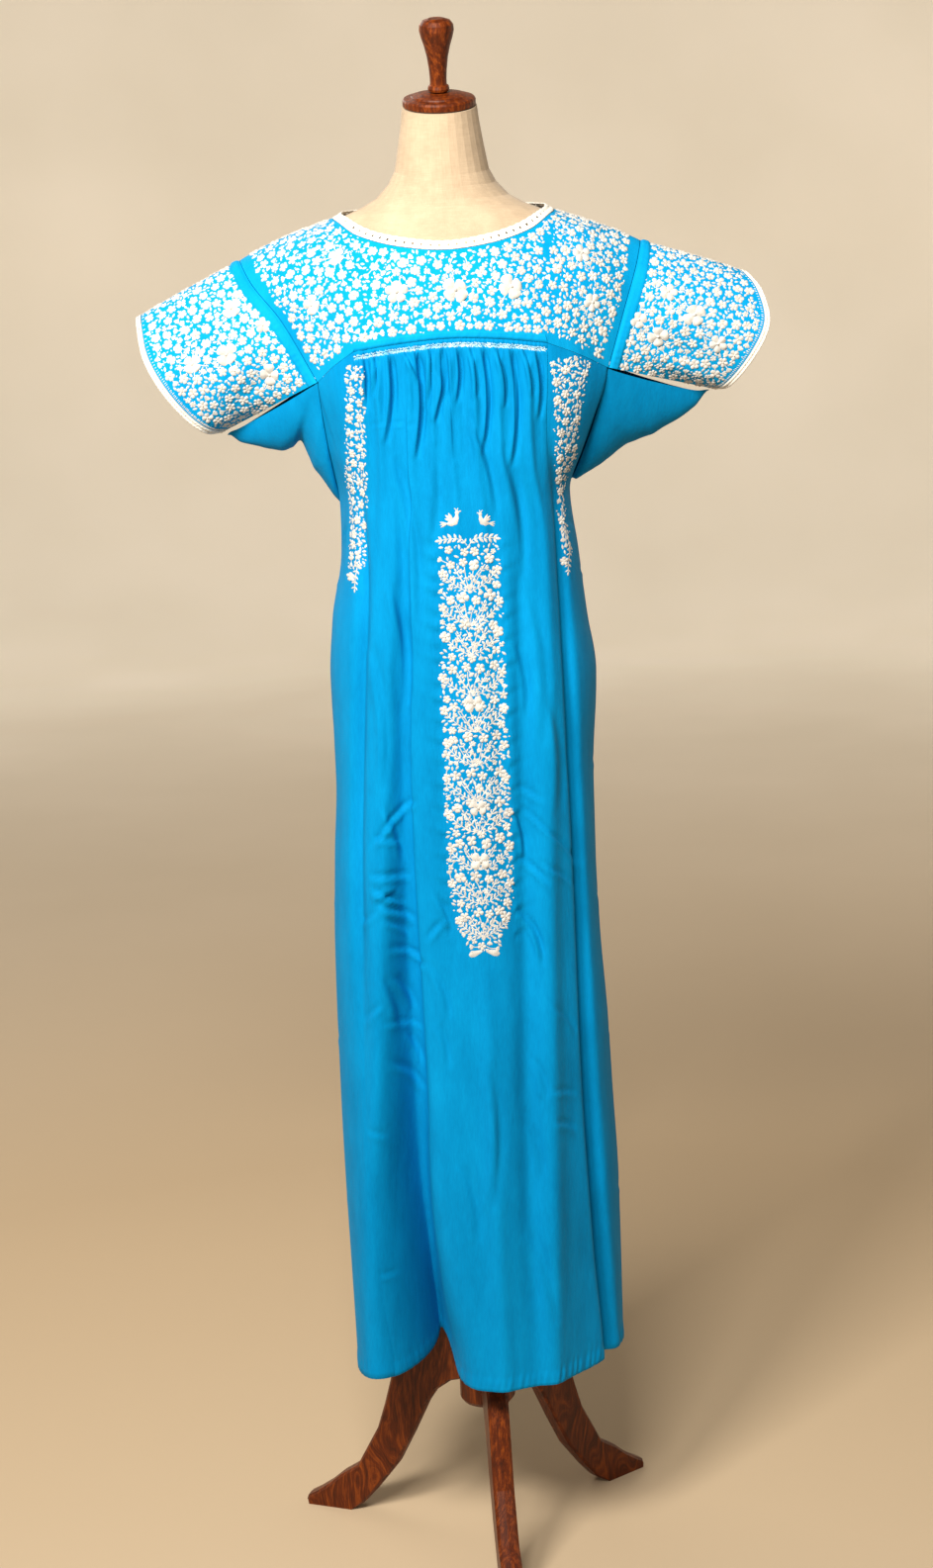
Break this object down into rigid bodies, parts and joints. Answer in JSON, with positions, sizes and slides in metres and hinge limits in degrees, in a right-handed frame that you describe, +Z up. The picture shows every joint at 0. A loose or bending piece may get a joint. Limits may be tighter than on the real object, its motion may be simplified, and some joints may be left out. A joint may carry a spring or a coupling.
{
  "type": "mexican embroidered dress on a dress form",
  "caption": "Long gathered cotton dress with an embroidered yoke and short sleeves, on a linen dress form with a turned neck cap and a wooden tripod stand.",
  "frame": {"origin": "bottom centre of the bounding box, on the floor under the stand", "axes": "+Z up, -Y towards the front of the dress, +X to the right as seen from the front"},
  "size_m": [0.709, 0.4331, 1.8037],
  "materials": {
    "blue_cotton": "plain cotton, matt with a slight sheen",
    "embroidered_cotton": "blue cotton covered with white satin stitch",
    "crochet": "white crochet cotton",
    "linen": "fine unbleached linen, stretched",
    "wood": "reddish brown gloss varnish"
  },
  "bodies": {
    "root": {"yoke": "embroidered_cotton", "yoke_band_front": "blue_cotton", "yoke_band_back": "blue_cotton", "neck_lace": "crochet", "front_panel": "blue_cotton", "back_panel": "blue_cotton", "smock_front": "crochet", "smock_back": "crochet", "side_left": "blue_cotton", "side_right": "blue_cotton", "sleeve_left": "embroidered_cotton", "sleeve_right": "embroidered_cotton", "armhole_band_left": "blue_cotton", "armhole_band_right": "blue_cotton", "cuff_lace_left": "crochet", "cuff_lace_right": "crochet", "gusset_left": "blue_cotton", "gusset_right": "blue_cotton", "torso": "linen", "neck_cap": "wood", "finial": "wood", "torso_base": "wood", "pole": "wood", "hub": "wood", "leg_front": "wood", "leg_right": "wood", "leg_left": "wood"}
  },
  "joints": []
}
